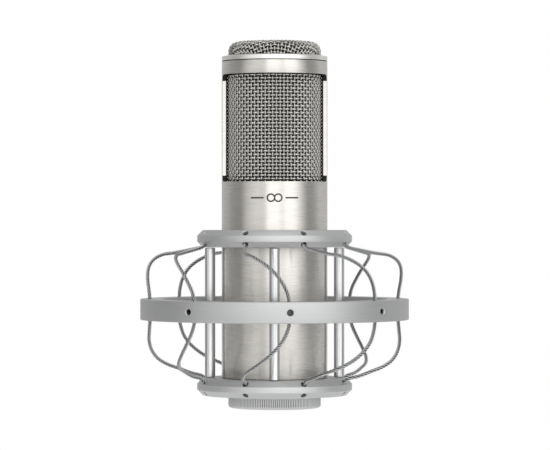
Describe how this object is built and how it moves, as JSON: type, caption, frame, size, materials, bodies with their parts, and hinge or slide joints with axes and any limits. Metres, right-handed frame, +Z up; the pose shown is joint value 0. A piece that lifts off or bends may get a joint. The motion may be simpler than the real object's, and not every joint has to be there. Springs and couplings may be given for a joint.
{
  "type": "ribbon microphone in a suspension shock mount",
  "caption": "Side-address ribbon microphone with a windowed metal tube and woven grille, hung by steel ropes inside a round shock mount with a tilting stand adapter.",
  "frame": {"origin": "centre of the stand thread's mouth, on the bottom face of the stand adapter", "axes": "+Z up along the microphone, from the connector to the top mesh; -Y is the microphone's front, away from the stand adapter; +X is to the right seen from the front"},
  "size_m": [0.129, 0.157, 0.1764],
  "materials": {
    "nickel": "fine horizontal brushing, warm nickel",
    "satin_aluminium": "satin anodised",
    "polished_rod": "polished",
    "rope_steel": "twisted stainless rope",
    "woven_mesh": "plain weave wire",
    "fine_mesh": "blackened fine wire",
    "dark_steel": "black oxide",
    "shield": "annealed, dull",
    "magnet": "plated",
    "foil": "bright corrugated foil",
    "winding": "taped winding",
    "brass": "plated",
    "black_plastic": "moulded, matt",
    "lead_insulation": "thin lead insulation"
  },
  "bodies": {
    "stand": {"stand_adapter": "satin_aluminium", "thread_insert": "brass", "hinge_screw": "dark_steel"},
    "knob_carrier": {"knob_washer": "polished_rod"},
    "knob": {"clamp_knob": "satin_aluminium"},
    "suspension_ring": {"outer_ring": "satin_aluminium", "swivel_fork": "satin_aluminium", "fork_screw_left": "dark_steel", "fork_screw_right": "dark_steel", "ring_set_screw_1": "dark_steel", "ring_set_screw_2": "dark_steel", "ring_set_screw_3": "dark_steel", "ring_set_screw_4": "dark_steel", "ring_set_screw_5": "dark_steel", "ring_set_screw_6": "dark_steel", "ring_set_screw_7": "dark_steel", "ring_set_screw_8": "dark_steel", "suspension_rope_1": "rope_steel", "suspension_rope_2": "rope_steel", "suspension_rope_3": "rope_steel", "suspension_rope_4": "rope_steel", "suspension_rope_5": "rope_steel", "suspension_rope_6": "rope_steel", "suspension_rope_7": "rope_steel", "suspension_rope_8": "rope_steel"},
    "cage": {"upper_cage_ring": "satin_aluminium", "lower_cage_ring": "satin_aluminium", "cage_rod_front": "polished_rod", "cage_rod_right": "polished_rod", "cage_rod_back": "polished_rod", "cage_rod_left": "polished_rod"},
    "microphone": {"body_tube": "nickel", "top_cap_ring": "nickel", "top_mesh": "woven_mesh", "grille_mesh": "woven_mesh", "inner_screen": "fine_mesh", "deck_plate": "satin_aluminium", "motor_frame": "dark_steel", "magnet_left": "magnet", "magnet_right": "magnet", "ribbon": "foil", "upper_ribbon_clamp": "brass", "lower_ribbon_clamp": "brass", "upper_clamp_screw": "dark_steel", "lower_clamp_screw": "dark_steel", "transformer_core": "winding", "transformer_shield": "shield", "connector_base": "satin_aluminium", "xlr_insulator": "black_plastic", "xlr_pin_1": "brass", "xlr_pin_2": "brass", "xlr_pin_3": "brass", "chassis_rod_left": "polished_rod", "chassis_rod_right": "polished_rod", "ribbon_lead_upper": "lead_insulation", "ribbon_lead_lower": "lead_insulation", "output_lead_1": "lead_insulation", "output_lead_2": "lead_insulation"},
    "collar_carrier": {"collar_washer": "black_plastic"},
    "collar": {"locking_collar": "satin_aluminium"}
  },
  "joints": [
    {"name": "tilt", "type": "hinge", "parent": "stand", "child": "suspension_ring", "pos_m": [0, 0, 0.036], "axis": [1, 0, 0], "range_deg": [-90, 12]},
    {"name": "suspension_bounce", "type": "slide", "parent": "suspension_ring", "child": "cage", "axis": [0, 0, 1], "range_m": [-0.005, 0.005], "stiffness_N_per_m": 5300, "springref_m": 0.00155, "deforming": ["suspension_rope_1", "suspension_rope_2", "suspension_rope_3", "suspension_rope_4", "suspension_rope_5", "suspension_rope_6", "suspension_rope_7", "suspension_rope_8"]},
    {"name": "mic_lift", "type": "slide", "parent": "cage", "child": "microphone", "axis": [0, 0, 1], "range_m": [0, 0.095]},
    {"name": "collar_travel", "type": "slide", "parent": "cage", "child": "collar_carrier", "axis": [0, 0, -1], "range_m": [0, 0.006]},
    {"name": "collar_turn", "type": "hinge", "parent": "collar_carrier", "child": "collar", "pos_m": [0, -0.08, -0.0085], "axis": [0, 0, -1], "range_deg": [0, 1440]},
    {"name": "knob_travel", "type": "slide", "parent": "stand", "child": "knob_carrier", "axis": [1, 0, 0], "range_m": [0, 0.00128]},
    {"name": "knob_turn", "type": "hinge", "parent": "knob_carrier", "child": "knob", "pos_m": [0.0188, 0, 0.036], "axis": [1, 0, 0], "range_deg": [0, 360]}
  ],
  "couplings": [
    {"joint": "collar_travel", "follows": "collar_turn", "m_per_rad": 0.0002385},
    {"joint": "knob_travel", "follows": "knob_turn", "m_per_rad": 0.000202}
  ]
}
